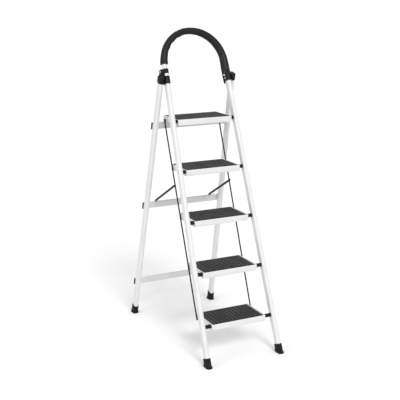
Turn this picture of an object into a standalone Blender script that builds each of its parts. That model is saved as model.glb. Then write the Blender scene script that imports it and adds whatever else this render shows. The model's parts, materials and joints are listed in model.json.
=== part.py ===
"""Folding five-step step ladder in steel tube, standing open on its four feet.

Metres, +Z up, +X to the right, the climber faces +Y.  The origin is on the floor at the
middle of the base.  The front frame carries the steps and the padded handle, the rear frame
hinges on it near the top, and the two lift rods and two fold links join them.
"""
import math

import bmesh
import bpy
from mathutils import Matrix, Vector

# ---- driving dimensions -------------------------------------------------------------------
STEP_COUNT = 5
STEP_RISE = 0.240
LOWEST_STEP_Z = 0.190            # top of the lowest mat
BASE_DEPTH = 0.840               # front foot to rear foot, between tube axes on the floor
FRONT_LEAN = math.radians(21.3)
REAR_LEAN = math.radians(13.1)
FRONT_SPLAY = math.radians(1.283)
REAR_SPLAY = math.radians(1.65)
FRONT_HALF_WIDTH = 0.2028        # tube axis on the floor
REAR_HALF_WIDTH = 0.2411
GAP = 0.0003                     # clearance between pieces that touch

TUBE_WIDTH = 0.022               # flat-sided oval tube of all four uprights
TUBE_DEPTH = 0.038
TUBE_CORNER = 0.009
TUBE_WALL = 0.0015
TUBE_END_Z = 0.014               # lower end, inside the rubber foot

MAT_HALF_WIDTH = 0.1412
MAT_DEPTH = 0.174
MAT_THICKNESS = 0.003
MAT_AHEAD = 0.013                # mat front edge, ahead of the front tube's axis
TOP_MAT_HALF_WIDTH = 0.1455
TOP_MAT_DEPTH = 0.164
TRAY_HALF_WIDTH = 0.152
TRAY_CORNER = 0.004
TRAY_FRONT_BORDER = 0.004
TRAY_BACK_BORDER = 0.006
TRAY_DROP = 0.031                # mat top down to the lower edge of the tray
SHEET = 0.0015

PIVOT_DROP = 0.010               # mat top down to the step's pivot
SPACER_RADIUS = 0.010
RIVET_RADIUS = 0.004
RIVET_HEAD_RADIUS = 0.007
RIVET_INNER_HEAD_RADIUS = 0.0048 # small enough to sit under the tray's top
RIVET_HEAD = 0.002

ROD_X = 0.1565
ROD_RADIUS = 0.0032
ROD_BEHIND_PIVOT = 0.1442        # lift rod eye, behind the step's pivot
ROD_BELOW_PIVOT = 0.0136         # lift rod eye, below the step's pivot
ROD_STUD_RADIUS = 0.003
ROD_TAIL = 0.006
KNOB_RADIUS = 0.0055
LINK_TOP_Z = 0.8059
LINK_FOOT_Z = 0.6735
LINK_FOOT_BEHIND = 0.0225        # link foot pivot, behind the rear leg's axis
LINK_X = 0.1619
LINK_THICKNESS = 0.003
LINK_WIDTH = 0.009
LINK_BORE = 0.0033
STUD_RADIUS = 0.003

STRAP_Z = (1.097, 0.650, 0.190)
STRAP_NAMES = ("top", "middle", "bottom")
STRAP_HEIGHT = 0.036
STRAP_DEPTH = 0.010
STRAP_OVERHANG = -0.0035
STRAP_CAP = 0.004

HINGE_SLEEVE_Z = (1.322, 1.359)
HINGE_SLEEVE_WALL = 0.003
REAR_CAP_TOP_Z = 1.360
CAP_RELIEF_X = 0.1876            # the grip is cut back here to clear the rear cap
CAP_RELIEF_TOP_Z = 1.395
RIB_STANDS = 0.003              # rib inboard of the sleeve, running down into a tongue
SLEEVE_TONGUE_Z = 1.308
COLLAR_Z = (1.370, 1.393)
COLLAR_WIDTH = 0.028
COLLAR_DEPTH = 0.040
SPIGOT = 0.014
BOSS_RADIUS = 0.0085
BOSS_Z = 1.380                   # bolt boss on the outboard side of the left collar
BOSS_WEB = 0.015                # width of the plate that joins the boss to the tongue
BOSS_REACH = 0.0285              # its face, from the rail's axis
PIN_RADIUS = 0.005
PIN_HEAD_RADIUS = 0.0075
PIN_HEAD = 0.003

HANDLE_RADIUS = 0.0125
HANDLE_FOOT_Z = 1.3745
HANDLE_BEND_Z = 1.4185
GRIP_RADIUS = 0.0168
GRIP_TOP_RADIUS = 0.0168
GRIP_SHOULDER_RADIUS = 0.0190     # halfway down the right side
GRIP_LEFT_END_Z = 1.4155
GRIP_RIGHT_END_Z = 1.3597
GRIP_RIGHT_RADIUS = 0.0224       # stretched over the collar on the right
GRIP_COLLAR_BORE = 0.0206
GRIP_BORE_TOP_Z = 1.3945

FRONT_FOOT_HEIGHT = 0.041
REAR_FOOT_HEIGHT = 0.047
FOOT_WALL = 0.004
SOLE_WIDTH = 0.033
SOLE_DEPTH = 0.050
SOLE_HEIGHT = 0.007

# ---- worked out from them -----------------------------------------------------------------
FRONT_Y = -BASE_DEPTH / 2
REAR_Y = BASE_DEPTH / 2
HINGE_Z = BASE_DEPTH / (math.tan(FRONT_LEAN) + math.tan(REAR_LEAN))
HINGE_Y = FRONT_Y + math.tan(FRONT_LEAN) * HINGE_Z
LEFT, RIGHT = -1, 1
SIDES = ((LEFT, "left"), (RIGHT, "right"))


def front_axis(side, z):
    """Point on a front rail's axis at height z."""
    return Vector((side * (FRONT_HALF_WIDTH - math.tan(FRONT_SPLAY) * z),
                   FRONT_Y + math.tan(FRONT_LEAN) * z, z))


def rear_axis(side, z):
    """Point on a rear leg's axis at height z."""
    return Vector((side * (REAR_HALF_WIDTH - math.tan(REAR_SPLAY) * z),
                   REAR_Y - math.tan(REAR_LEAN) * z, z))


def axis_frame(low, high):
    """Matrix with its origin at low, Z towards high and X close to world X."""
    along = (high - low).normalized()
    back = along.cross(Vector((1, 0, 0))).normalized()
    across = back.cross(along)
    return Matrix.Translation(low) @ Matrix((across, back, along)).transposed().to_4x4()


def front_frame(side, z=0.0):
    return axis_frame(front_axis(side, z), front_axis(side, z + 1.0))


def rear_frame(side, z=0.0):
    return axis_frame(rear_axis(side, z), rear_axis(side, z + 1.0))


def mat_top(number):
    """Height of a step's mat; step 1 is the lowest."""
    return LOWEST_STEP_Z + STEP_RISE * (number - 1)


def step_pivot(number):
    z = mat_top(number) - PIVOT_DROP
    return Vector((0, FRONT_Y + math.tan(FRONT_LEAN) * z, z))


def rod_eye(number):
    return step_pivot(number) + Vector((0, ROD_BEHIND_PIVOT, -ROD_BELOW_PIVOT))


def rod_point(z):
    """Point on the lift rods' line (at x = 0) at height z."""
    eye = rod_eye(1)
    return Vector((0, eye.y + math.tan(FRONT_LEAN) * (z - eye.z), z))


# ---- scene, materials, objects ------------------------------------------------------------
def clear_scene():
    for obj in list(bpy.data.objects):
        bpy.data.objects.remove(obj, do_unlink=True)
    for group in list(bpy.data.collections):
        bpy.data.collections.remove(group)


def new_collection(name):
    group = bpy.data.collections.new(name)
    bpy.context.scene.collection.children.link(group)
    return group


def material(name, colour, roughness, metallic=0.0):
    mat = bpy.data.materials.new(name)
    mat.use_nodes = True
    shader = mat.node_tree.nodes["Principled BSDF"]
    shader.inputs["Base Color"].default_value = (*colour, 1.0)
    shader.inputs["Roughness"].default_value = roughness
    shader.inputs["Metallic"].default_value = metallic
    mat.diffuse_color = (*colour, 1.0)
    return mat


def add_object(name, mesh, matrix=None, finish=None, body=None, smooth=35):
    """Puts a mesh in the ladder's collection, or in the cutters' when it has no finish."""
    obj = bpy.data.objects.new(name, mesh)
    if finish is None:
        CUTTERS.objects.link(obj)
        obj.hide_render = True
        obj.display_type = "WIRE"
    else:
        PARTS.objects.link(obj)
        mesh.materials.append(finish)
        mesh.shade_smooth()
        mesh.set_sharp_from_angle(angle=math.radians(smooth))
    if matrix is not None:
        obj.matrix_world = matrix
    if body is not None:
        obj.parent = body
        obj.matrix_parent_inverse = Matrix.Translation(-body.location)
    return obj


def body_empty(name, location, parent=None):
    """An empty on a joint's axis, which carries the pieces of one moving body."""
    empty = bpy.data.objects.new(name, None)
    empty.empty_display_size = 0.03
    PARTS.objects.link(empty)
    empty.location = location
    if parent is not None:
        empty.parent = parent
        empty.matrix_parent_inverse = Matrix.Translation(-parent.location)
    return empty


def combine(obj, other, operation):
    modifier = obj.modifiers.new(operation.title(), "BOOLEAN")
    modifier.operation = operation
    modifier.object = other
    modifier.solver = "EXACT"


def cut(obj, *cutters):
    for cutter in cutters:
        combine(obj, cutter, "DIFFERENCE")


def unite(obj, *pieces):
    for piece in pieces:
        combine(obj, piece, "UNION")


# ---- basic shapes -------------------------------------------------------------------------
def rounded_outline(width, depth, corner, per_corner=4):
    """Points of a rectangle with round corners, anticlockwise."""
    points = []
    for quarter, (sx, sy) in enumerate(((1, 1), (-1, 1), (-1, -1), (1, -1))):
        cx = sx * (width / 2 - corner)
        cy = sy * (depth / 2 - corner)
        for step in range(per_corner):
            angle = math.pi / 2 * (quarter + step / (per_corner - 1))
            points.append((cx + corner * math.cos(angle), cy + corner * math.sin(angle)))
    return points


def mesh_of_curve(curve):
    """Turns a curve into a mesh with its caps welded on."""
    holder = bpy.data.objects.new("curve", curve)
    bpy.context.scene.collection.objects.link(holder)
    bpy.context.view_layer.update()
    evaluated = holder.evaluated_get(bpy.context.evaluated_depsgraph_get())
    mesh = bpy.data.meshes.new_from_object(evaluated)
    bpy.data.objects.remove(holder)
    bpy.data.curves.remove(curve)
    work = bmesh.new()
    work.from_mesh(mesh)
    bmesh.ops.remove_doubles(work, verts=work.verts, dist=0.00001)
    work.to_mesh(mesh)
    work.free()
    mesh.materials.clear()
    return mesh


def prism_mesh(outlines, bottom, top):
    """Extrudes flat outlines (the second and later ones are holes) from z bottom to top."""
    curve = bpy.data.curves.new("outline", "CURVE")
    curve.dimensions = "2D"
    curve.fill_mode = "BOTH"
    curve.extrude = (top - bottom) / 2
    for outline in outlines:
        spline = curve.splines.new("POLY")
        spline.points.add(len(outline) - 1)
        for point, (x, y) in zip(spline.points, outline):
            point.co = (x, y, 0, 1)
        spline.use_cyclic_u = True
    mesh = mesh_of_curve(curve)
    mesh.transform(Matrix.Translation((0, 0, (top + bottom) / 2)))
    return mesh


def sweep_mesh(points, radius, sides, radii=None):
    """A round bar or tube along a polyline; radii scale the radius point by point."""
    curve = bpy.data.curves.new("path", "CURVE")
    curve.dimensions = "3D"
    curve.bevel_depth = radius
    curve.bevel_resolution = (sides - 4) // 2
    curve.use_fill_caps = True
    spline = curve.splines.new("POLY")
    spline.points.add(len(points) - 1)
    for index, point in enumerate(points):
        spline.points[index].co = (*point, 1)
        spline.points[index].radius = radii[index] if radii else 1.0
    return mesh_of_curve(curve)


def bar_mesh(start, end, radius, sides=12):
    """A round bar between two points."""
    length = (end - start).length
    work = bmesh.new()
    bmesh.ops.create_cone(work, cap_ends=True, segments=sides, radius1=radius, radius2=radius,
                          depth=length)
    turn = (end - start).to_track_quat("Z", "Y").to_matrix().to_4x4()
    bmesh.ops.transform(work, verts=work.verts, matrix=Matrix.Translation((start + end) / 2) @ turn)
    mesh = bpy.data.meshes.new("bar")
    work.to_mesh(mesh)
    work.free()
    return mesh


def box_mesh(low, high):
    """A box between two opposite corners."""
    low = Vector(low)
    high = Vector(high)
    work = bmesh.new()
    bmesh.ops.create_cube(work, size=1.0)
    size = high - low
    bmesh.ops.scale(work, vec=size, verts=work.verts)
    bmesh.ops.translate(work, vec=(low + high) / 2, verts=work.verts)
    mesh = bpy.data.meshes.new("box")
    work.to_mesh(mesh)
    work.free()
    return mesh


def turned_object(name, profile, start, direction, finish, body=None, closed=False, steps=12):
    """Turns a profile of (radius, height) points about an axis that leaves start."""
    mesh = bpy.data.meshes.new(name)
    points = [(radius, 0, height) for radius, height in profile]
    edges = [(i, i + 1) for i in range(len(points) - 1)]
    if closed:
        edges.append((len(points) - 1, 0))
    mesh.from_pydata(points, edges, [])
    turn = direction.to_track_quat("Z", "Y").to_matrix().to_4x4()
    obj = add_object(name, mesh, Matrix.Translation(start) @ turn, finish, body)
    screw = obj.modifiers.new("Screw", "SCREW")
    screw.steps = steps
    screw.render_steps = steps
    screw.use_merge_vertices = True
    screw.merge_threshold = 0.00005
    screw.use_smooth_shade = True
    return obj


def ring_profile(inner, outer, length):
    """Profile of a plain bush that runs from height 0 to length."""
    return [(outer, length), (outer, 0), (inner, 0), (inner, length)]


def x_bar(start_x, end_x, centre, radius, sides=12):
    """Mesh of a bar parallel to X through a centre point."""
    return bar_mesh(Vector((start_x, centre.y, centre.z)), Vector((end_x, centre.y, centre.z)),
                    radius, sides)


def tube_outlines(wall=TUBE_WALL):
    outer = rounded_outline(TUBE_WIDTH, TUBE_DEPTH, TUBE_CORNER)
    inner = rounded_outline(TUBE_WIDTH - 2 * wall, TUBE_DEPTH - 2 * wall, TUBE_CORNER - wall)
    return [outer, inner]


def tube_clearance():
    """Outline of a pocket that the upright's tube fits into."""
    return rounded_outline(TUBE_WIDTH + 2 * GAP, TUBE_DEPTH + 2 * GAP, TUBE_CORNER + GAP)


# ---- front frame --------------------------------------------------------------------------
def front_rail(side, word):
    slant = math.cos(FRONT_LEAN) * math.cos(FRONT_SPLAY)
    low = TUBE_END_Z / slant
    high = (COLLAR_Z[0] - GAP) / slant
    rail = add_object(f"front_rail_{word}", prism_mesh(tube_outlines(), low, high),
                      front_frame(side), WHITE_STEEL)
    reach = 0.03
    for number in range(1, STEP_COUNT + 1):
        pivot = step_pivot(number)
        x = front_axis(side, pivot.z).x
        cut(rail, add_object(f"rail_hole_{word}_{number}",
                             x_bar(x - reach, x + reach, pivot, RIVET_RADIUS + GAP)))
    x = front_axis(side, HINGE_Z).x
    hinge = Vector((0, HINGE_Y, HINGE_Z))
    cut(rail, add_object(f"rail_hinge_hole_{word}",
                         x_bar(x - reach, x + reach, hinge, PIN_RADIUS + GAP)))


def foot(name, frame, lean, height, body=None):
    """Rubber foot: a cup round the tube's end on a flat sole."""
    width = TUBE_WIDTH + 2 * FOOT_WALL
    depth = TUBE_DEPTH + 2 * FOOT_WALL
    top = height / math.cos(lean)
    cup = prism_mesh([rounded_outline(width, depth, TUBE_CORNER + FOOT_WALL)], -0.03, top)
    foot_object = add_object(name, cup, frame, RUBBER, body)
    sole_place = Matrix.Translation(frame.translation)
    sole = prism_mesh([rounded_outline(SOLE_WIDTH, SOLE_DEPTH, 0.012)], -0.03, SOLE_HEIGHT)
    unite(foot_object, add_object(name + "_sole", sole, sole_place))
    floor = box_mesh((-0.08, -0.08, -0.08), (0.08, 0.08, 0))
    pocket = prism_mesh([tube_clearance()], (TUBE_END_Z - GAP) / math.cos(lean), top + 0.02)
    cut(foot_object, add_object(name + "_floor", floor, sole_place),
        add_object(name + "_pocket", pocket, frame))


def along_front(z):
    """Distance along a front rail's axis to height z."""
    return z / (math.cos(FRONT_LEAN) * math.cos(FRONT_SPLAY))


def top_joint(side, word):
    """Moulded joint: hinge sleeve, outboard tongue and the collar that holds the handle."""
    frame = front_frame(side)
    width = TUBE_WIDTH + 2 * HINGE_SLEEVE_WALL
    depth = TUBE_DEPTH + 2 * HINGE_SLEEVE_WALL
    sleeve_low, sleeve_high = (along_front(z) for z in HINGE_SLEEVE_Z)
    collar_low, collar_high = (along_front(z) for z in COLLAR_Z)
    outline = rounded_outline(width, depth, TUBE_CORNER + HINGE_SLEEVE_WALL)
    joint = add_object(f"top_joint_{word}", prism_mesh([outline], sleeve_low, sleeve_high),
                       frame, BLACK_PLASTIC)
    inner = side * (TUBE_WIDTH / 2 + GAP)
    outer = side * width / 2
    tongue_top = collar_low + 0.004
    outboard = box_mesh((min(inner, outer), -0.010, sleeve_high - 0.004),
                        (max(inner, outer), 0.010, tongue_top))
    tail_low = along_front(SLEEVE_TONGUE_Z)
    rib = sleeve_high - GAP - tail_low
    near, far = sorted((-side * (TUBE_WIDTH / 2 + GAP), -side * (width / 2 + RIB_STANDS)))
    inboard = prism_mesh([[(0.0212, rib), (0.0085, rib), (0.0115, 0), (0.0170, 0)]], near, far)
    stand = Matrix(((0, 0, 1, 0), (1, 0, 0, 0), (0, 1, 0, 0), (0, 0, 0, 1)))
    inboard.transform(Matrix.Translation((0, 0, tail_low)) @ stand)
    collar = prism_mesh([rounded_outline(COLLAR_WIDTH, COLLAR_DEPTH, COLLAR_WIDTH / 2)],
                        collar_low, collar_high)
    bore = TUBE_WALL + GAP
    spigot = prism_mesh([rounded_outline(TUBE_WIDTH - 2 * bore, TUBE_DEPTH - 2 * bore,
                                         TUBE_CORNER - bore)],
                        collar_low - SPIGOT, collar_low + 0.002)
    pocket = prism_mesh([tube_clearance()], tail_low - 0.01, sleeve_high + 0.001)
    cut(joint, add_object(f"sleeve_pocket_{word}", pocket, frame))
    unite(joint, add_object(f"collar_{word}", collar, frame),
          add_object(f"spigot_{word}", spigot, frame),
          add_object(f"outboard_tongue_{word}", outboard, frame),
          add_object(f"inboard_tongue_{word}", inboard, frame))
    if side == LEFT:
        boss_centre = front_axis(side, BOSS_Z)
        boss = x_bar(boss_centre.x - HANDLE_RADIUS - 0.0006, boss_centre.x - BOSS_REACH,
                     boss_centre, BOSS_RADIUS, 16)
        centre = frame.inverted() @ boss_centre
        web = box_mesh((3 * GAP - BOSS_REACH + 0.002, -BOSS_WEB / 2, sleeve_high + 0.0095),
                       (-TUBE_WIDTH / 2 - 0.001, BOSS_WEB / 2, centre.z))
        unite(joint, add_object("collar_boss", boss), add_object("boss_web", web, frame))
    socket = bar_mesh(Vector((0, 0, along_front(HANDLE_FOOT_Z) - GAP)),
                      Vector((0, 0, collar_high + 0.01)), HANDLE_RADIUS + 2 * GAP, 16)
    hinge = Vector((0, HINGE_Y, HINGE_Z))
    x = front_axis(side, HINGE_Z).x
    cut(joint, add_object(f"handle_socket_{word}", socket, frame),
        add_object(f"joint_hinge_hole_{word}",
                   x_bar(x - 0.03, x + 0.03, hinge, PIN_RADIUS + GAP)))


def handle_path(left_z, right_z, arc_steps=20):
    """Centre line of the handle: two legs in line with the rails and the bend over the top."""
    bend_left = front_axis(LEFT, HANDLE_BEND_Z)
    slope = (front_axis(LEFT, HANDLE_BEND_Z) - front_axis(LEFT, 0)).normalized()
    up = Vector((0, math.sin(FRONT_LEAN), math.cos(FRONT_LEAN)))
    tilt = math.asin(slope.x)
    radius = -bend_left.x / math.cos(tilt)
    centre = bend_left + radius * (Vector((1, 0, 0)) * math.cos(tilt) - up * math.sin(tilt))
    points = [front_axis(LEFT, left_z)]
    for step in range(arc_steps + 1):
        angle = math.pi - tilt - (math.pi - 2 * tilt) * step / arc_steps
        points.append(centre + radius * (Vector((1, 0, 0)) * math.cos(angle)
                                         + up * (math.sin(angle))))
    points.append(front_axis(RIGHT, right_z))
    return points


def handle_tube():
    tube = add_object("handle_tube", sweep_mesh(handle_path(HANDLE_FOOT_Z, HANDLE_FOOT_Z),
                                                HANDLE_RADIUS, 14), None, WHITE_STEEL)
    end = HANDLE_FOOT_Z - 0.01
    cut(tube, add_object("handle_bore", sweep_mesh(handle_path(end, end),
                                                   HANDLE_RADIUS - TUBE_WALL, 10)))


def grip_radius(point):
    """Foam radius: thinner over the bend, wide where it covers the right collar."""
    if point.x > 0:
        low, high = GRIP_BORE_TOP_Z, GRIP_BORE_TOP_Z + 0.05
        share = min(max((point.z - low) / (high - low), 0), 1)
        base = GRIP_RIGHT_RADIUS + (GRIP_SHOULDER_RADIUS - GRIP_RIGHT_RADIUS) * share
    else:
        base = GRIP_RADIUS
    over = min(max((point.z - 1.50) / 0.08, 0), 1)
    return base + (GRIP_TOP_RADIUS - base) * over


def handle_grip():
    path = handle_path(GRIP_LEFT_END_Z, GRIP_RIGHT_END_Z)
    bend_end = path[-2]
    extra = [bend_end.lerp(path[-1], share) for share in (0.25, 0.5, 0.75)]
    path = path[:-1] + extra + path[-1:]
    radii = [grip_radius(point) / GRIP_RADIUS for point in path]
    grip = add_object("handle_grip", sweep_mesh(path, GRIP_RADIUS, 16, radii), None, FOAM)
    bore = sweep_mesh(handle_path(GRIP_LEFT_END_Z - 0.02, GRIP_RIGHT_END_Z - 0.02),
                      HANDLE_RADIUS + 2 * GAP, 14)
    low = along_front(GRIP_RIGHT_END_Z - 0.01)
    high = along_front(GRIP_BORE_TOP_Z)
    pocket = bar_mesh(Vector((0, 0, low)), Vector((0, 0, high)), GRIP_COLLAR_BORE, 16)
    relief = box_mesh((CAP_RELIEF_X, HINGE_Y - 0.05, GRIP_RIGHT_END_Z - 0.02),
                      (CAP_RELIEF_X + 0.03, HINGE_Y + 0.06, CAP_RELIEF_TOP_Z))
    cut(grip, add_object("grip_bore", bore),
        add_object("grip_collar_pocket", pocket, front_frame(RIGHT)),
        add_object("grip_cap_relief", relief))


# ---- steps --------------------------------------------------------------------------------
def mat_size(number):
    if number == STEP_COUNT:
        return TOP_MAT_HALF_WIDTH, TOP_MAT_DEPTH
    return MAT_HALF_WIDTH, MAT_DEPTH


def mat_front(number):
    z = mat_top(number)
    return FRONT_Y + math.tan(FRONT_LEAN) * z - MAT_AHEAD


def tread(number, body):
    """Pressed steel tray, open below, with holes for its two pivots and two rod studs."""
    top = mat_top(number) - MAT_THICKNESS - GAP
    low = mat_top(number) - TRAY_DROP
    front = mat_front(number) - TRAY_FRONT_BORDER
    back = mat_front(number) + MAT_DEPTH + TRAY_BACK_BORDER
    place = Matrix.Translation((0, (front + back) / 2, 0))
    width = 2 * TRAY_HALF_WIDTH
    shell = prism_mesh([rounded_outline(width, back - front, TRAY_CORNER)], low, top)
    tray = add_object(f"step_{number}_tread", shell, place, WHITE_STEEL, body)
    hollow = prism_mesh([rounded_outline(width - 2 * SHEET, back - front - 2 * SHEET,
                                         TRAY_CORNER - SHEET)], low - 0.01, top - SHEET)
    cut(tray, add_object(f"step_{number}_hollow", hollow, place))
    pivot = step_pivot(number)
    eye = rod_eye(number)
    for side, word in SIDES:
        x = side * TRAY_HALF_WIDTH
        cut(tray, add_object(f"step_{number}_pivot_hole_{word}",
                             x_bar(x - 0.01, x + 0.01, pivot, RIVET_RADIUS + GAP)),
            add_object(f"step_{number}_rod_hole_{word}",
                       x_bar(x - 0.01, x + 0.01, eye, ROD_STUD_RADIUS + GAP)))


def step_mat(number, body):
    half_width, depth = mat_size(number)
    slab = prism_mesh([rounded_outline(2 * half_width, depth, 0.006, 4)], -MAT_THICKNESS, 0)
    place = Matrix.Translation((0, mat_front(number) + depth / 2, mat_top(number)))
    add_object(f"step_{number}_mat", slab, place, MAT_RUBBER, body)


def step_mountings(number, side, word):
    """Plastic spacer between tray and rail, and the rivet that the step turns on."""
    pivot = step_pivot(number)
    rail_x = side * front_axis(side, pivot.z).x
    play = 0.0006
    start = TRAY_HALF_WIDTH + GAP
    end = rail_x - TUBE_WIDTH / 2 - play
    outward = Vector((side, 0, 0))
    turned_object(f"step_{number}_spacer_{word}",
                  ring_profile(RIVET_RADIUS + GAP, SPACER_RADIUS, end - start),
                  Vector((side * start, pivot.y, pivot.z)), outward, BLACK_PLASTIC, closed=True)
    inner = TRAY_HALF_WIDTH - SHEET - GAP - RIVET_HEAD
    outer = rail_x + TUBE_WIDTH / 2 + play + RIVET_HEAD
    length = outer - inner
    head = RIVET_HEAD_RADIUS
    inner_head = RIVET_INNER_HEAD_RADIUS
    profile = [(0, length), (head * 0.6, length), (head, length - RIVET_HEAD * 0.6),
               (head, length - RIVET_HEAD), (RIVET_RADIUS, length - RIVET_HEAD),
               (RIVET_RADIUS, RIVET_HEAD), (inner_head, RIVET_HEAD), (inner_head, 0), (0, 0)]
    turned_object(f"step_{number}_rivet_{word}", profile,
                  Vector((side * inner, pivot.y, pivot.z)), outward, ZINC)


# ---- folding gear -------------------------------------------------------------------------
def lift_rod(side, word, body):
    """Rod along the steps' back corners, with a welded stud for each step and a link knob."""
    x = side * ROD_X
    low = rod_point(rod_eye(1).z - ROD_TAIL)
    high = rod_point(rod_eye(STEP_COUNT).z + ROD_TAIL)
    rod = add_object(f"lift_rod_{word}",
                     bar_mesh(Vector((x, low.y, low.z)), Vector((x, high.y, high.z)),
                              ROD_RADIUS, 10), None, BLACK_STEEL, body)
    inner = side * (TRAY_HALF_WIDTH - 0.006)
    for number in range(1, STEP_COUNT + 1):
        unite(rod, add_object(f"rod_stud_{word}_{number}",
                              x_bar(inner, x, rod_eye(number), ROD_STUD_RADIUS, 8)))
    knob_end = side * (LINK_X - LINK_THICKNESS / 2 - GAP)
    unite(rod, add_object(f"rod_knob_{word}",
                          x_bar(x, knob_end, rod_point(LINK_TOP_Z), KNOB_RADIUS, 12)))


def link_foot():
    """Pivot of the fold links on the rear frame (at x = 0)."""
    foot_point = rear_axis(RIGHT, LINK_FOOT_Z)
    return Vector((0, foot_point.y + LINK_FOOT_BEHIND, foot_point.z))


def fold_link(side, word, body):
    """Flat bar from the middle strap's bracket up to the lift rod's knob."""
    foot_point = link_foot()
    top_point = rod_point(LINK_TOP_Z)
    length = (top_point - foot_point).length
    outline = rounded_outline(LINK_WIDTH, length + LINK_WIDTH, LINK_WIDTH / 2)
    flat = [(x, y + length / 2) for x, y in outline]
    mesh = prism_mesh([flat], -LINK_THICKNESS / 2, LINK_THICKNESS / 2)
    toward = (top_point - foot_point).normalized()
    across = Vector((1, 0, 0))
    third = across.cross(toward)
    turn = Matrix((third, toward, -across)).transposed().to_4x4()
    place = Matrix.Translation(foot_point + across * side * LINK_X) @ turn
    link = add_object(f"fold_link_{word}", mesh, place, BLACK_STEEL, body)
    for label, point in (("foot", foot_point), ("top", top_point)):
        cut(link, add_object(f"link_{label}_bore_{word}",
                             x_bar(side * (LINK_X - 0.01), side * (LINK_X + 0.01), point,
                                   LINK_BORE, 12)))


# ---- rear frame ---------------------------------------------------------------------------
def rear_leg(side, word, body):
    slant = math.cos(REAR_LEAN) * math.cos(REAR_SPLAY)
    low = TUBE_END_Z / slant
    high = (REAR_CAP_TOP_Z - HINGE_SLEEVE_WALL) / slant
    leg = add_object(f"rear_leg_{word}", prism_mesh(tube_outlines(), low, high),
                     rear_frame(side), WHITE_STEEL, body)
    x = rear_axis(side, HINGE_Z).x
    cut(leg, add_object(f"leg_hinge_hole_{word}",
                        x_bar(x - 0.03, x + 0.03, Vector((0, HINGE_Y, HINGE_Z)),
                              PIN_RADIUS + GAP)))


def rear_hinge_cap(side, word, body):
    """Moulded cap over the rear leg's top end, blind on its outer side."""
    slant = math.cos(REAR_LEAN) * math.cos(REAR_SPLAY)
    low = HINGE_SLEEVE_Z[0] / slant
    high = REAR_CAP_TOP_Z / slant
    width = TUBE_WIDTH + 2 * HINGE_SLEEVE_WALL
    depth = TUBE_DEPTH + 2 * HINGE_SLEEVE_WALL
    frame = rear_frame(side)
    cap = add_object(f"rear_hinge_cap_{word}",
                     prism_mesh([rounded_outline(width, depth, TUBE_CORNER + HINGE_SLEEVE_WALL)],
                                low, high), frame, BLACK_PLASTIC, body)
    pocket = prism_mesh([tube_clearance()], low - 0.01, high - HINGE_SLEEVE_WALL + GAP)
    x = abs(rear_axis(side, HINGE_Z).x)
    hole = x_bar(side * (x - 0.03), side * (x + TUBE_WIDTH / 2 + 0.0015),
                 Vector((0, HINGE_Y, HINGE_Z)), PIN_RADIUS + GAP)
    cut(cap, add_object(f"cap_pocket_{word}", pocket, frame),
        add_object(f"cap_hinge_hole_{word}", hole))


def hinge_pin(side, word):
    """Steel pin from inside the front rail, through the joint and into the rear cap."""
    front_x = abs(front_axis(side, HINGE_Z).x)
    rear_x = abs(rear_axis(side, HINGE_Z).x)
    play = 0.0006
    start = front_x - TUBE_WIDTH / 2 - HINGE_SLEEVE_WALL - play - PIN_HEAD
    end = rear_x + TUBE_WIDTH / 2 + 0.001
    length = end - start
    profile = [(0, length), (PIN_RADIUS, length), (PIN_RADIUS, PIN_HEAD),
               (PIN_HEAD_RADIUS, PIN_HEAD), (PIN_HEAD_RADIUS, 0.001),
               (PIN_HEAD_RADIUS - 0.001, 0), (0, 0)]
    turned_object(f"hinge_pin_{word}", profile, Vector((side * start, HINGE_Y, HINGE_Z)),
                  Vector((side, 0, 0)), ZINC)


def strap_frame(z):
    """Frame of a cross strap at height z, on the legs' rear faces, with Y square to them."""
    lean = Matrix.Rotation(REAR_LEAN, 4, "X")
    back = lean @ Vector((0, TUBE_DEPTH / 2 + GAP, 0))
    return Matrix.Translation(Vector((0, rear_axis(RIGHT, z - back.z).y, z - back.z)) + back) @ lean


def channel_outline():
    """Section of a shallow channel, its web at x = 0 and its flanges towards +x."""
    half = STRAP_HEIGHT / 2
    return [(0, -half), (STRAP_DEPTH, -half), (STRAP_DEPTH, -half + SHEET),
            (SHEET, -half + SHEET), (SHEET, half - SHEET), (STRAP_DEPTH, half - SHEET),
            (STRAP_DEPTH, half), (0, half)]


def rear_strap(name, z, body):
    """Shallow channel across the rear legs, with a plastic cap on each end."""
    half = rear_axis(RIGHT, z).x + TUBE_WIDTH / 2 + STRAP_OVERHANG
    frame = strap_frame(z)
    lay_across = Matrix(((0, 0, 1, 0), (1, 0, 0, 0), (0, 1, 0, 0), (0, 0, 0, 1)))
    mesh = prism_mesh([channel_outline()], -half, half)
    mesh.transform(lay_across)
    strap = add_object(f"rear_strap_{name}", mesh, frame, WHITE_STEEL, body)
    for side, word in SIDES:
        near = side * (half + GAP)
        far = side * (half + GAP + STRAP_CAP)
        cap_mesh = prism_mesh([rounded_outline(STRAP_DEPTH + 0.002, STRAP_HEIGHT + 0.002, 0.004, 4)],
                              min(near, far), max(near, far))
        cap_mesh.transform(lay_across)
        cap_mesh.transform(Matrix.Translation((0, STRAP_DEPTH / 2 + 0.001, 0)))
        add_object(f"strap_cap_{name}_{word}", cap_mesh, frame, BLACK_PLASTIC, body)
    return strap


def link_bracket(strap, side, word):
    """Upright tab on the middle strap, with the stud that the fold link turns on."""
    pivot = link_foot()
    inner = LINK_X + LINK_THICKNESS / 2 + 0.001
    outer = inner + 0.003
    frame = strap_frame(STRAP_Z[1])
    local = frame.inverted() @ pivot
    low = Vector((min(side * inner, side * outer), local.y - 0.005, STRAP_HEIGHT / 2 - SHEET))
    high = Vector((max(side * inner, side * outer), local.y + 0.005, local.z + 0.005))
    tab = add_object(f"link_tab_{word}", box_mesh(low, high), frame)
    stud = add_object(f"link_stud_{word}",
                      x_bar(side * (inner + 0.001), side * (LINK_X - LINK_THICKNESS / 2 - 0.0015),
                            pivot, STUD_RADIUS, 10))
    unite(strap, tab, stud)


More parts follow.
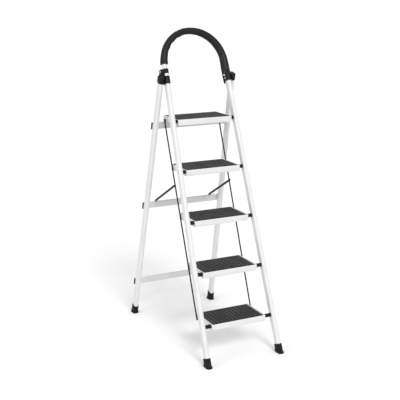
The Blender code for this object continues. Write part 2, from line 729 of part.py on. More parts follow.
# ---- assembly -----------------------------------------------------------------------------
def build_front():
    for side, word in SIDES:
        front_rail(side, word)
        foot(f"front_foot_{word}", front_frame(side), FRONT_LEAN, FRONT_FOOT_HEIGHT)
        top_joint(side, word)
        hinge_pin(side, word)
    handle_tube()
    handle_grip()


def build_steps():
    top_body = None
    for number in range(1, STEP_COUNT + 1):
        body = body_empty(f"step_{number}", step_pivot(number))
        tread(number, body)
        step_mat(number, body)
        for side, word in SIDES:
            step_mountings(number, side, word)
        top_body = body
    return top_body


def build_rear():
    body = body_empty("rear_frame", Vector((0, HINGE_Y, HINGE_Z)))
    straps = {}
    for side, word in SIDES:
        rear_leg(side, word, body)
        rear_hinge_cap(side, word, body)
        foot(f"rear_foot_{word}", rear_frame(side), REAR_LEAN, REAR_FOOT_HEIGHT, body)
    for name, z in zip(STRAP_NAMES, STRAP_Z):
        straps[name] = rear_strap(name, z, body)
    for side, word in SIDES:
        link_bracket(straps["middle"], side, word)
    return body


def build_folding_gear(top_step, rear):
    rods = body_empty("lift_rods", rod_eye(STEP_COUNT), top_step)
    links = body_empty("fold_links", link_foot(), rear)
    for side, word in SIDES:
        lift_rod(side, word, rods)
        fold_link(side, word, links)


clear_scene()
PARTS = new_collection("step_ladder")
CUTTERS = new_collection("cutters")
WHITE_STEEL = material("white_powder_coat", (0.86, 0.86, 0.86), 0.35)
BLACK_PLASTIC = material("black_plastic", (0.025, 0.025, 0.027), 0.45)
RUBBER = material("black_rubber", (0.02, 0.02, 0.02), 0.75)
MAT_RUBBER = material("ribbed_mat", (0.035, 0.035, 0.038), 0.8)
FOAM = material("grip_foam", (0.045, 0.045, 0.048), 0.85)
BLACK_STEEL = material("black_steel", (0.02, 0.02, 0.022), 0.4)
ZINC = material("zinc_plate", (0.62, 0.63, 0.64), 0.35, 1.0)
build_front()
build_folding_gear(build_steps(), build_rear())
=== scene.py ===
"""Looks of a folding five-step step ladder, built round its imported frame.

Every piece is modelled here again in fine mesh at the place the frame gives, in metres, and
rides on the frame's body.  Step 1 is the lowest step.
"""
import json
import math

import bmesh
import bpy
from mathutils import Matrix, Vector, noise


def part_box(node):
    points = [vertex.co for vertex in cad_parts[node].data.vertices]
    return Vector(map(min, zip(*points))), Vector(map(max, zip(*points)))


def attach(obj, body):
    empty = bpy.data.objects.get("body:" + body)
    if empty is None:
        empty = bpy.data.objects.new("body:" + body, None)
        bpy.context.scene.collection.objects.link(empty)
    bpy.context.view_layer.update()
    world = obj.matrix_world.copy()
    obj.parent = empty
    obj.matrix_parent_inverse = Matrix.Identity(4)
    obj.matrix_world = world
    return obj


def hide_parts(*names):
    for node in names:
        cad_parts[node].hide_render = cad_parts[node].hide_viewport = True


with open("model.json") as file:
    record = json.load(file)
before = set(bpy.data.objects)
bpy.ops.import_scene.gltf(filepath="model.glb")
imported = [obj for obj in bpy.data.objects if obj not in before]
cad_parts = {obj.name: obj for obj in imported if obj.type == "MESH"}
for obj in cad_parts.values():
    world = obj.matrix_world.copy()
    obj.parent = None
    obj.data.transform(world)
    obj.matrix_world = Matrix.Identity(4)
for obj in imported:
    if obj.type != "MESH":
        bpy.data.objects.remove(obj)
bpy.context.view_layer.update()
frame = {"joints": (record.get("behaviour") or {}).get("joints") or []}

JOINTS = {joint["name"]: joint for joint in frame["joints"]}
X_AXIS = Vector((1, 0, 0))
SIDES = ((-1, "left"), (1, "right"))
STEPS = (1, 2, 3, 4, 5)

# ---- sections and small sizes -------------------------------------------------------------
TUBE_WIDTH = 0.022
TUBE_DEPTH = 0.038
TUBE_CORNER = 0.009
TUBE_WALL = 0.0015
SHEET = 0.0015

TRAY_RIM = 0.0029                # the tray's rolled rim stands this far above its box
TRAY_LIP = 0.0055                # width of the lower edge's turned-in lip
TRAY_CORNER = 0.0042

MAT_RELIEF = 0.0009              # how far the studs stand above the mat's field
MAT_RIM = 0.005                  # plain border
MAT_CORNER = 0.0060
LANE_PITCH = 0.0215              # from one front-to-back lane of studs to the next
STUD_PITCH = 0.0086              # along a lane
STUD_LENGTH = 0.0138
STUD_WIDTH = 0.0046
STUD_TURN = 28                   # degrees, one way and the other in alternate lanes
STUD_CLEAR_X = 0.47              # shares of a stud's length kept between the outermost
STUD_CLEAR_Y = 0.40              # studs' middles and the mat's border

# Heights of the top joint and the rear leg's cap are from the hinge.
SLEEVE_WALL = 0.003
SLEEVE_WIDTH = TUBE_WIDTH + 2 * SLEEVE_WALL
SLEEVE_DEPTH = TUBE_DEPTH + 2 * SLEEVE_WALL
SLEEVE_CORNER = TUBE_CORNER + SLEEVE_WALL
SLEEVE_LOW = -0.0293
SLEEVE_HIGH = {-1: 0.0070, 1: 0.0100}        # by side; the foam reaches down to the right one
TONGUE_LOW = -0.0388
TONGUE_STANDS = 0.003            # proud of the sleeve, inboard
TONGUE_STEPS = 8
TONGUE_FRONT = 0.0115            # the tongue's edges at its tail, and how far they move
TONGUE_BACK = 0.0170             # towards the rear by its top
TONGUE_FRONT_SHIFT = -0.0030
TONGUE_BACK_SHIFT = 0.0042
COLLAR_LOW = 0.0190
COLLAR_HIGH = 0.0423
COLLAR_WIDTH = 0.028
COLLAR_DEPTH = 0.040
BOSS_HEIGHT = 0.0308
BOSS_RADIUS = 0.0085
BOSS_REACH = 0.0285              # from the rail's axis to the boss's face
BOSS_LENGTH = 0.0153
WEB_LOW = 0.0208                 # web that ties the boss to the collar
WEB_WIDTH = 0.015
LUG_X = -0.0201                  # middle of the lug and of the heel under it
LUG_SIZE = (0.0164, 0.0325)
LUG_Y = 0.0038
LUG_HEIGHTS = (0.0214, 0.0436)
HEEL_SIZE = (0.0160, 0.0052)
HEEL_Y = 0.0174
HEEL_HEIGHTS = (0.0182, 0.0250)
LOWER_BOLT = -0.0152
BOLT_RADIUS = 0.0045
BOSS_BOLT_RADIUS = 0.0056
CAP_LOW = -0.0240
CAP_HIGH = 0.0108
CAP_CROWN = 0.0198               # radius of the left cap's dome, round the hinge

# Heights of the handle and its foam are from the hinge too.
HANDLE_RADIUS = 0.0125
HANDLE_FOOT = 0.0253
HANDLE_BEND = 0.0693
GRIP_LEFT_END = 0.0663
GRIP_RIGHT_END = 0.0105
GRIP_COLLAR_TOP = 0.0453
GRIP_COLLAR_BORE = 0.0206
GRIP_COLLAR_TAPER = 0.05         # height in which the foam narrows above the collar
GRIP_RADIUS = 0.0181
GRIP_TOP_RADIUS = 0.0170
GRIP_TOP_EXTRA = 0.0014          # more radius on the right half of the bend
GRIP_SHOULDER_RADIUS = 0.0204
GRIP_RIGHT_RADIUS = 0.0224
GRIP_BEND_LOW = 0.151            # the bend's thinner foam starts here
GRIP_BEND_SPAN = 0.08
GRIP_MIDDLE_X = -0.02            # left to right change of the foam starts here
GRIP_MIDDLE_SPAN = 0.08
GRIP_SAG = 0.0008                # towards the loop's middle, all round
GRIP_SAG_RIGHT = 0.0006          # more on the right
GRIP_SAG_LEG = {-1: 0.0008, 1: 0.0012}       # and more on the straight parts, by side
GRIP_FLARE = 0.0042              # of the left rim, outward
GRIP_FLARE_SPAN = 0.045
GRIP_CREASE = 0.0024
CREASE_FIRST = math.radians(146)             # angles round the bend, from its right end
CREASE_PITCH = math.radians(17)
CREASE_LAST = math.radians(78)
CREASE_FADE = math.radians(45)
GRIP_LUMPS = 0.0005
GRIP_FLAT_X = 0.1874             # the foam is flattened here against the rear cap

STRAP_HEIGHT = 0.036
STRAP_DEPTH = 0.010
STRAP_BEND = 0.0028
TAB_RADIUS = 0.005               # link bracket on the middle strap
ROD_RADIUS = 0.0035
ROD_SKIN = 0.0036                # the rod as it shows; ROD_RADIUS only places it
ROD_INSET = 0.0036               # from the outer face of its box to the rod's axis
STUD_RADIUS = 0.003              # studs of the lift rods and of the link brackets
KNOB_RADIUS = 0.0055
LINK_WIDTH = 0.0120
LINK_RIVET = 0.0035
RIVET_HEAD = 0.0070              # step rivets
RIVET_SHANK = 0.0040
PIN_SHANK = 0.005                # hinge pins
PIN_HEAD_HEIGHT = 0.003
FOOT_WALL = 0.004
SOLE_WIDTH = 0.033
SOLE_DEPTH = 0.050
SOLE_CORNER = 0.012

# ---- camera and light ---------------------------------------------------------------------
CAMERA_PLACE = Vector((-1.9915, -3.9084, 1.8288))
CAMERA_AZIMUTH = 26.574          # from +Y towards +X, degrees
CAMERA_DROP = 14.154
CAMERA_LENS = 78.64
SENSOR = 36.0
FLOOR_SIZE = 300
SKY_STRENGTH = 0.75
KEY_LIGHT = {"azimuth": 4, "height": 42, "power": 1.6, "softness": 20}
FILL_LIGHT = {"azimuth": 75, "height": 15, "power": 0.62, "softness": 32}


# ---- places read from the frame -----------------------------------------------------------
def joint_place(name):
    return Vector(JOINTS[name]["pos_m"])


HINGE = joint_place("fold")
LINK_FOOT = joint_place("fold_link_pivot")


def axis_frame(low, high):
    """Matrix with its origin at low, Z towards high and X close to world X."""
    along = (high - low).normalized()
    back = along.cross(X_AXIS).normalized()
    across = back.cross(along)
    return Matrix.Translation(low) @ Matrix((across, back, along)).transposed().to_4x4()


class Upright:
    """Axis of one leaning tube, worked out from its node's box."""

    def __init__(self, node, forward):
        low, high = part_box(node)
        side = 1 if low.x > 0 else -1
        outer = max(abs(low.x), abs(high.x)) - TUBE_WIDTH / 2
        inner = min(abs(low.x), abs(high.x)) + TUBE_WIDTH / 2
        lean = 0.0
        for _ in range(8):
            reach_y = TUBE_DEPTH / 2 * math.cos(lean)
            reach_z = TUBE_DEPTH / 2 * math.sin(lean)
            lean = math.atan2(high.y - low.y - 2 * reach_y, high.z - low.z - 2 * reach_z)
        front, back = low.y + reach_y, high.y - reach_y
        foot_y, top_y = (front, back) if forward else (back, front)
        self.lean = lean
        self.low = Vector((side * outer, foot_y, low.z + reach_z))
        self.high = Vector((side * inner, top_y, high.z - reach_z))
        self.matrix = axis_frame(self.low, self.high)

    def at(self, z):
        """Point on the axis at world height z."""
        return self.low.lerp(self.high, (z - self.low.z) / (self.high.z - self.low.z))

    def along(self, z):
        """Distance up the axis, from its low end, to world height z."""
        return (z - self.low.z) / (self.high.z - self.low.z) * (self.high - self.low).length

    def ring_at(self, points, z):
        """Moves local (x, y) points along the axis until they lie at world height z."""
        row = self.matrix[2]
        return [Vector((x, y, (z - row[3] - row[0] * x - row[1] * y) / row[2]))
                for x, y in points]


RAILS = {side: Upright(f"front_rail_{word}", True) for side, word in SIDES}
LEGS = {side: Upright(f"rear_leg_{word}", False) for side, word in SIDES}


# ---- mesh helpers -------------------------------------------------------------------------
def oval(width, depth, corner, inset=0.0, per_corner=9):
    """Points of a rectangle with round corners, anticlockwise, pulled in by inset."""
    corner = max(corner - inset, 0.0002)
    half_x, half_y = width / 2 - inset - corner, depth / 2 - inset - corner
    points = []
    for quarter, (sx, sy) in enumerate(((1, 1), (-1, 1), (-1, -1), (1, -1))):
        for step in range(per_corner):
            angle = math.pi / 2 * (quarter + step / (per_corner - 1))
            points.append((sx * half_x + corner * math.cos(angle),
                           sy * half_y + corner * math.sin(angle)))
    return points


def flat_ring(points, z):
    return [Vector((x, y, z)) for x, y in points]


def circle(radius, z, sides=32):
    return [Vector((radius * math.cos(2 * math.pi * i / sides),
                    radius * math.sin(2 * math.pi * i / sides), z)) for i in range(sides)]


def loft(rings, closed=False):
    """Mesh through rings of equal count; open ends get a cap, a closed loft none."""
    work = bmesh.new()
    rows = [[work.verts.new(point) for point in ring] for ring in rings]
    count = len(rows[0])
    pairs = list(zip(rows, rows[1:]))
    if closed:
        pairs.append((rows[-1], rows[0]))
    for lower, upper in pairs:
        for i in range(count):
            j = (i + 1) % count
            work.faces.new((lower[i], lower[j], upper[j], upper[i]))
    if not closed:
        work.faces.new(reversed(rows[0]))
        work.faces.new(rows[-1])
    bmesh.ops.recalc_face_normals(work, faces=work.faces)
    return to_mesh(work)


def to_mesh(work, name="mesh"):
    mesh = bpy.data.meshes.new(name)
    work.to_mesh(mesh)
    work.free()
    return mesh


def lathe(profile, sides=32, closed=False):
    """Turned mesh about Z from (radius, height) points."""
    return loft([circle(max(radius, 0.00005), z, sides) for radius, z in profile], closed)


def dome(radius, height, base, steps=6):
    """Profile points of a shallow dome that stands on height base."""
    return [(radius * math.cos(math.pi / 2 * i / steps),
             base + height * math.sin(math.pi / 2 * i / steps)) for i in range(steps + 1)]


def moved(mesh, matrix):
    mesh.transform(matrix)
    return mesh


def turned_to(start, direction):
    """Matrix that stands a turned mesh's foot on start, its axis along direction."""
    return Matrix.Translation(start) @ direction.to_track_quat("Z", "Y").to_matrix().to_4x4()


def joined(meshes):
    """One mesh of several that don't touch or that meet face to face."""
    work = bmesh.new()
    for mesh in meshes:
        work.from_mesh(mesh)
    return to_mesh(work)


def holder(mesh):
    obj = bpy.data.objects.new("holder", mesh)
    bpy.context.scene.collection.objects.link(obj)
    return obj


def combined(base, unions=(), cuts=()):
    """The mesh left by joining solids to a base mesh and cutting others from it."""
    obj = holder(base)
    helpers = []
    for operation, meshes in (("UNION", unions), ("DIFFERENCE", cuts)):
        for mesh in meshes:
            tool = holder(mesh)
            helpers.append(tool)
            modifier = obj.modifiers.new(operation, "BOOLEAN")
            modifier.operation = operation
            modifier.object = tool
            modifier.solver = "EXACT"
    bpy.context.view_layer.update()
    result = bpy.data.meshes.new_from_object(
        obj.evaluated_get(bpy.context.evaluated_depsgraph_get()))
    for used in helpers + [obj]:
        bpy.data.objects.remove(used)
    return result


def block(low, high, edge=0.0006):
    """Box between two corners, its upright edges and rims eased."""
    low, high = Vector(low), Vector(high)
    size, middle = high - low, (high + low) / 2
    rings = []
    for inset, z in ((edge, low.z), (0, low.z + edge), (0, high.z - edge), (edge, high.z)):
        rings.append([point + Vector((middle.x, middle.y, 0)) for point in
                      flat_ring(oval(size.x, size.y, 2 * edge, inset, 4), z)])
    return loft(rings)


def place_piece(name, mesh, slot, body, nodes=(), sharp=38):
    """Adds a piece, whose mesh is already in the frame's coordinates, and lets it ride."""
    obj = bpy.data.objects.new(name, mesh)
    bpy.context.scene.collection.objects.link(obj)
    mesh.materials.clear()
    mesh.materials.append(LOOKS[slot])
    mesh.shade_smooth()
    mesh.set_sharp_from_angle(angle=math.radians(sharp))
    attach(obj, body)
    if nodes:
        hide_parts(*nodes)
    return obj


# ---- materials ----------------------------------------------------------------------------
class Finish:
    """A Principled material with helpers for its noise, colour and bump.

    The plain colour and roughness are the mean of what the nodes give, for viewers without them.
    """

    def __init__(self, name, colour, roughness, metallic=0.0):
        self.material = bpy.data.materials.new(name)
        self.material.use_nodes = True
        self.tree = self.material.node_tree
        self.shader = self.tree.nodes["Principled BSDF"]
        self.shader.inputs["Base Color"].default_value = (*colour, 1)
        self.shader.inputs["Roughness"].default_value = roughness
        self.shader.inputs["Metallic"].default_value = metallic
        self.coords = self.tree.nodes.new("ShaderNodeTexCoord")

    def noise(self, scale, detail=3.0, stretch=(1, 1, 1)):
        mapping = self.tree.nodes.new("ShaderNodeMapping")
        mapping.inputs["Scale"].default_value = stretch
        self.tree.links.new(self.coords.outputs["Object"], mapping.inputs["Vector"])
        texture = self.tree.nodes.new("ShaderNodeTexNoise")
        texture.inputs["Scale"].default_value = scale
        texture.inputs["Detail"].default_value = detail
        self.tree.links.new(mapping.outputs["Vector"], texture.inputs["Vector"])
        return texture.outputs["Fac"]

    def attribute(self, name):
        node = self.tree.nodes.new("ShaderNodeAttribute")
        node.attribute_name = name
        return node.outputs["Fac"]

    def tint(self, factor, stops):
        """Colour that follows a factor through (position, colour) stops."""
        ramp = self.tree.nodes.new("ShaderNodeValToRGB")
        for element, (position, colour) in zip(ramp.color_ramp.elements, (stops[0], stops[-1])):
            element.position = position
            element.color = (*colour, 1)
        for position, colour in stops[1:-1]:
            ramp.color_ramp.elements.new(position).color = (*colour, 1)
        self.tree.links.new(factor, ramp.inputs["Fac"])
        return ramp.outputs["Color"]

    def mix(self, factor, first, second):
        node = self.tree.nodes.new("ShaderNodeMix")
        node.data_type = "RGBA"
        self.tree.links.new(factor, node.inputs["Factor"])
        self.tree.links.new(first, node.inputs["A"])
        self.tree.links.new(second, node.inputs["B"])
        return node.outputs["Result"]

    def colour(self, socket):
        self.tree.links.new(socket, self.shader.inputs["Base Color"])

    def roughness(self, factor, low, high):
        node = self.tree.nodes.new("ShaderNodeMapRange")
        node.inputs["To Min"].default_value = low
        node.inputs["To Max"].default_value = high
        self.tree.links.new(factor, node.inputs["Value"])
        self.tree.links.new(node.outputs["Result"], self.shader.inputs["Roughness"])

    def bump(self, *layers):
        """Stacks bump layers of (height socket, strength, distance in metres)."""
        normal = None
        for height, strength, distance in layers:
            node = self.tree.nodes.new("ShaderNodeBump")
            node.inputs["Strength"].default_value = strength
            node.inputs["Distance"].default_value = distance
            self.tree.links.new(height, node.inputs["Height"])
            if normal is not None:
                self.tree.links.new(normal, node.inputs["Normal"])
            normal = node.outputs["Normal"]
        self.tree.links.new(normal, self.shader.inputs["Normal"])


def powder_coat():
    """White polyester powder coat: even, semi-gloss, with a fine orange peel."""
    finish = Finish("white_powder_coat", (0.654, 0.654, 0.654), 0.35)
    finish.colour(finish.tint(finish.noise(14, 2), ((0.35, (0.640, 0.640, 0.640)),
                                                    (0.65, (0.668, 0.668, 0.668)))))
    finish.roughness(finish.noise(60, 2), 0.28, 0.42)
    finish.bump((finish.noise(420, 2), 0.10, 0.0002), (finish.noise(1600, 1), 0.05, 0.0001))
    finish.shader.inputs["Coat Weight"].default_value = 0.15
    finish.shader.inputs["Coat Roughness"].default_value = 0.2
    return finish.material


def moulded_plastic():
    """Black polypropylene with a spark-eroded grain."""
    finish = Finish("black_plastic", (0.0075, 0.0075, 0.0085), 0.43)
    finish.shader.inputs["Specular IOR Level"].default_value = 0.17
    finish.colour(finish.tint(finish.noise(35, 3), ((0.3, (0.005, 0.005, 0.006)),
                                                    (0.7, (0.010, 0.010, 0.011)))))
    finish.roughness(finish.noise(240, 2), 0.34, 0.52)
    finish.bump((finish.noise(1500, 2), 0.25, 0.0002))
    return finish.material


def black_rubber():
    """Moulded rubber of the feet, a little dusty towards grey."""
    finish = Finish("black_rubber", (0.011, 0.011, 0.011), 0.70)
    finish.shader.inputs["Specular IOR Level"].default_value = 0.15
    finish.colour(finish.tint(finish.noise(70, 5), ((0.35, (0.006, 0.006, 0.006)),
                                                    (0.75, (0.016, 0.016, 0.015)))))
    finish.roughness(finish.noise(180, 3), 0.58, 0.82)
    finish.bump((finish.noise(900, 3), 0.3, 0.0002))
    return finish.material


def mat_rubber():
    """Ribbed step mat: dark field, studs' tops painted lighter as a highlight, fine moulding
    grain.
    """
    finish = Finish("ribbed_mat", (0.045, 0.045, 0.045), 0.70)
    field = finish.tint(finish.noise(45, 4), ((0.3, (0.007, 0.007, 0.007)),
                                              (0.7, (0.014, 0.014, 0.014))))
    # colour of the studs' tops: a painted highlight, lighter than the field
    raised = finish.tint(finish.noise(13, 2), ((0.35, (0.058, 0.058, 0.059)),
                                               (0.65, (0.125, 0.125, 0.126))))
    finish.colour(finish.mix(finish.attribute("raised"), field, raised))
    finish.roughness(finish.noise(120, 3), 0.60, 0.80)
    finish.bump((finish.noise(1100, 3), 0.3, 0.0002))
    finish.shader.inputs["Specular IOR Level"].default_value = 0.3
    return finish.material


def grip_foam():
    """Closed-cell foam: satin skin with fine pores and soft uneven shading."""
    finish = Finish("grip_foam", (0.0055, 0.0055, 0.0055), 0.46)
    finish.colour(finish.tint(finish.noise(55, 4), ((0.3, (0.003, 0.003, 0.003)),
                                                    (0.7, (0.008, 0.008, 0.008)))))
    finish.roughness(finish.noise(160, 3), 0.38, 0.54)
    finish.bump((finish.noise(130, 3), 0.35, 0.0008), (finish.noise(1300, 3), 0.4, 0.0003))
    finish.shader.inputs["Specular IOR Level"].default_value = 0.25
    return finish.material


def black_steel():
    """Rods and links in satin black lacquer."""
    finish = Finish("black_steel", (0.006, 0.006, 0.0065), 0.44)
    finish.shader.inputs["Specular IOR Level"].default_value = 0.2
    finish.colour(finish.tint(finish.noise(80, 3), ((0.3, (0.004, 0.004, 0.004)),
                                                    (0.7, (0.008, 0.008, 0.009)))))
    finish.roughness(finish.noise(300, 2), 0.36, 0.52)
    finish.bump((finish.noise(900, 2), 0.15, 0.0002))
    return finish.material


def zinc_plate():
    """Bright zinc with faint drawn streaks."""
    finish = Finish("zinc_plate", (0.65, 0.66, 0.67), 0.31, 1.0)
    finish.colour(finish.tint(finish.noise(160, 3), ((0.3, (0.56, 0.57, 0.58)),
                                                     (0.7, (0.74, 0.75, 0.76)))))
    finish.roughness(finish.noise(400, 2, (1, 6, 6)), 0.22, 0.40)
    finish.bump((finish.noise(1400, 2), 0.15, 0.0001))
    return finish.material


LOOKS = {"white_powder_coat": powder_coat(), "black_plastic": moulded_plastic(),
         "black_rubber": black_rubber(), "ribbed_mat": mat_rubber(), "grip_foam": grip_foam(),
         "black_steel": black_steel(), "zinc_plate": zinc_plate()}


# ---- uprights and feet --------------------------------------------------------------------
def upright_tube(name, upright, body):
    """Flat-sided oval tube, open at both ends, with eased cut edges."""
    length = (upright.high - upright.low).length
    ease = 0.0004
    outer = [(ease, 0), (0, ease), (0, length - ease), (ease, length)]
    inner = [(TUBE_WALL - ease, length), (TUBE_WALL, length - ease),
             (TUBE_WALL, ease), (TUBE_WALL - ease, 0)]
    rings = [flat_ring(oval(TUBE_WIDTH, TUBE_DEPTH, TUBE_CORNER, inset, 12), z)
             for inset, z in outer + inner]
    place_piece(name, moved(loft(rings, closed=True), upright.matrix), "white_powder_coat", body,
                [name])


def rubber_foot(name, upright, body):
    """Cup with a rolled rim round the tube's end, and a rounded sole on the floor."""
    low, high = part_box(name)
    rim_reach = (TUBE_DEPTH / 2 + FOOT_WALL) * math.sin(upright.lean)
    top = upright.along(high.z - rim_reach)
    width, depth = TUBE_WIDTH + 2 * FOOT_WALL, TUBE_DEPTH + 2 * FOOT_WALL
    corner = TUBE_CORNER + FOOT_WALL
    mouth = FOOT_WALL - 0.0002
    rings = [flat_ring(oval(width, depth, corner, mouth), 0.0001),
             flat_ring(oval(width, depth, corner, mouth), top - 0.0012),
             flat_ring(oval(width, depth, corner, mouth - 0.0006), top - 0.0002)]
    for inset, drop in ((0.0016, 0), (0.0006, 0.0003), (0.0001, 0.0012), (0, 0.0024),
                        (0.0002, 0.0036), (0.0009, 0.0042), (0.0010, 0.0050)):
        rings.append(flat_ring(oval(width, depth, corner, inset), top - drop))
    for inset, z in ((0.0006, 0.016), (0.0001, 0.0085)):
        rings.append(upright.ring_at(oval(width, depth, corner, inset), z))
    floor_centre = upright.matrix.inverted() @ upright.at(0)
    for inset, z in ((0, 0.0062), (0, 0.0030), (0.0005, 0.0012), (0.0022, 0.0)):
        shifted = [(x + floor_centre.x, y + floor_centre.y)
                   for x, y in oval(SOLE_WIDTH, SOLE_DEPTH, SOLE_CORNER, inset)]
        rings.append(upright.ring_at(shifted, z))
    mesh = moved(loft(rings), upright.matrix)
    for vertex in mesh.vertices:
        vertex.co.z = max(vertex.co.z, 0.0)
    place_piece(name, mesh, "black_rubber", body, [name], sharp=50)


# ---- top joints ---------------------------------------------------------------------------
def rim_rings(width, depth, corner, low, high, ease):
    """Rings of an eased upright shell between two heights."""
    return [flat_ring(oval(width, depth, corner, inset), z) for inset, z in
            ((ease, low), (ease * 0.3, low + ease * 0.3), (0, low + ease), (0, high - ease),
             (ease * 0.3, high - ease * 0.3), (ease, high))]


def inboard_tongue(tail, top, near, far):
    """Tapered tongue down the sleeve's inboard face, eased where it ends at the top."""
    rings = []
    for step in range(TONGUE_STEPS + 1):
        share = (step / TONGUE_STEPS) ** 0.8
        front = TONGUE_FRONT + TONGUE_FRONT_SHIFT * share
        back = TONGUE_BACK + TONGUE_BACK_SHIFT * share
        if step == TONGUE_STEPS:
            front, back = front + 0.0012, back - 0.0012
        z = tail + (top - tail) * step / TONGUE_STEPS
        rings.append([Vector((near, front, z)), Vector((far, front, z)),
                      Vector((far, back, z)), Vector((near, back, z))])
    return loft(rings)


def left_lug(size, corner, y, heights, ease):
    """Upright block beside the left collar, between two heights on the rail's axis."""
    return moved(loft(rim_rings(*size, corner, *heights, ease)),
                 Matrix.Translation((LUG_X, y, 0)))


def left_boss():
    """The left collar's bolt boss with its web, lug and heel, in the rail's frame."""
    rail = RAILS[-1]
    centre = rail.matrix.inverted() @ rail.at(HINGE.z + BOSS_HEIGHT)
    hinge = rail.along(HINGE.z)
    profile = [(BOSS_RADIUS, 0), (BOSS_RADIUS, BOSS_LENGTH - 0.0005),
               (BOSS_RADIUS - 0.0006, BOSS_LENGTH)]
    foot = Vector((BOSS_LENGTH - BOSS_REACH, 0, 0))
    boss = moved(lathe(profile, 32), turned_to(centre + foot, -X_AXIS))
    web = block((0.0030 - BOSS_REACH, -WEB_WIDTH / 2, hinge + WEB_LOW),
                (-TUBE_WIDTH / 2 - 0.001, WEB_WIDTH / 2, centre.z))
    lug = left_lug(LUG_SIZE, 0.0040, LUG_Y, [hinge + z for z in LUG_HEIGHTS], 0.0009)
    heel = left_lug(HEEL_SIZE, 0.0020, HEEL_Y, [hinge + z for z in HEEL_HEIGHTS], 0.0006)
    return [boss, web, lug, heel]


def top_joint(side, word):
    """Hinge sleeve, handle collar, tongues and, on the left, the collar's bolt boss."""
    rail = RAILS[side]
    low, high, tail, collar_low, collar_high = (
        rail.along(HINGE.z + z)
        for z in (SLEEVE_LOW, SLEEVE_HIGH[side], TONGUE_LOW, COLLAR_LOW, COLLAR_HIGH))
    sleeve = loft(rim_rings(SLEEVE_WIDTH, SLEEVE_DEPTH, SLEEVE_CORNER, low, high, 0.0009))
    rib = loft(rim_rings(SLEEVE_WIDTH + 0.0016, SLEEVE_DEPTH + 0.0012, SLEEVE_CORNER,
                         low + 0.0005, low + 0.0040, 0.0008))
    collar = loft(rim_rings(COLLAR_WIDTH, COLLAR_DEPTH, COLLAR_WIDTH / 2 - 0.0005,
                            collar_low, collar_high, 0.0012))
    face = TUBE_WIDTH / 2 + 0.0003
    near, far = sorted((side * face, side * SLEEVE_WIDTH / 2))
    outboard = block((near, -0.010, high - 0.004), (far, 0.010, collar_low + 0.004))
    near, far = sorted((-side * face, -side * (SLEEVE_WIDTH / 2 + TONGUE_STANDS)))
    tongue = inboard_tongue(tail, high - 0.0003, near, far)
    unions = [rib, collar, outboard, tongue]
    if side < 0:
        unions += left_boss()
    pocket = loft([flat_ring(oval(TUBE_WIDTH + 0.0004, TUBE_DEPTH + 0.0004, TUBE_CORNER), z)
                   for z in (tail - 0.01, collar_low + 0.0004)])
    socket = moved(lathe([(HANDLE_RADIUS + 0.0003, 0), (HANDLE_RADIUS + 0.0003, 0.04)], 32),
                   Matrix.Translation((0, 0, rail.along(HINGE.z + HANDLE_FOOT) - 0.0004)))
    mesh = moved(combined(sleeve, unions, [pocket, socket]), rail.matrix)
    name = f"top_joint_{word}"
    place_piece(name, mesh, "black_plastic", "front_frame", [name])
    joint_bolts(side, word)


def bolt_mesh(radius, height):
    """Low pan head with a rounded rim and a shallow flat, foot at the origin."""
    profile = [(radius * 0.8, -0.0006), (radius, 0), (radius, height * 0.35),
               (radius * 0.94, height * 0.7), (radius * 0.7, height), (radius * 0.42, height),
               (radius * 0.34, height * 0.6)]
    return lathe(profile, 28)


def joint_bolts(side, word):
    """Bolt heads that show on the joint: inboard below the hinge, and on the left boss."""
    rail = RAILS[side]
    inward = Vector((-side, 0, 0))
    face = SLEEVE_WIDTH / 2 + 0.0002
    point = rail.at(HINGE.z + LOWER_BOLT)
    lower = moved(bolt_mesh(BOLT_RADIUS, 0.0022),
                  turned_to(point + inward * face, inward))
    meshes = [lower]
    if side < 0:
        point = rail.at(HINGE.z + BOSS_HEIGHT)
        outward = Vector((side, 0, 0))
        meshes.append(moved(bolt_mesh(BOSS_BOLT_RADIUS, 0.0028),
                            turned_to(point + outward * (BOSS_REACH - 0.0007), outward)))
    place_piece(f"joint_bolts_{word}", joined(meshes), "zinc_plate", "front_frame")


def hinge_pin(side, word):
    """Hinge pin: pan head inboard, plain shank through rail and leg."""
    name = f"hinge_pin_{word}"
    low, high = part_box(name)
    near = min(abs(low.x), abs(high.x))
    length = abs(high.x - low.x)
    profile = [(0.0020, 0.0008), (0.0028, 0), (0.0052, 0), (0.0062, 0.0008), (0.0064, 0.0018),
               (0.0064, PIN_HEAD_HEIGHT), (PIN_SHANK, PIN_HEAD_HEIGHT),
               (PIN_SHANK, length - 0.0008), (PIN_SHANK - 0.0008, length)]
    mesh = moved(lathe(profile), turned_to(Vector((side * near, HINGE.y, HINGE.z)),
                                           Vector((side, 0, 0))))
    place_piece(name, mesh, "zinc_plate", "front_frame", [name])


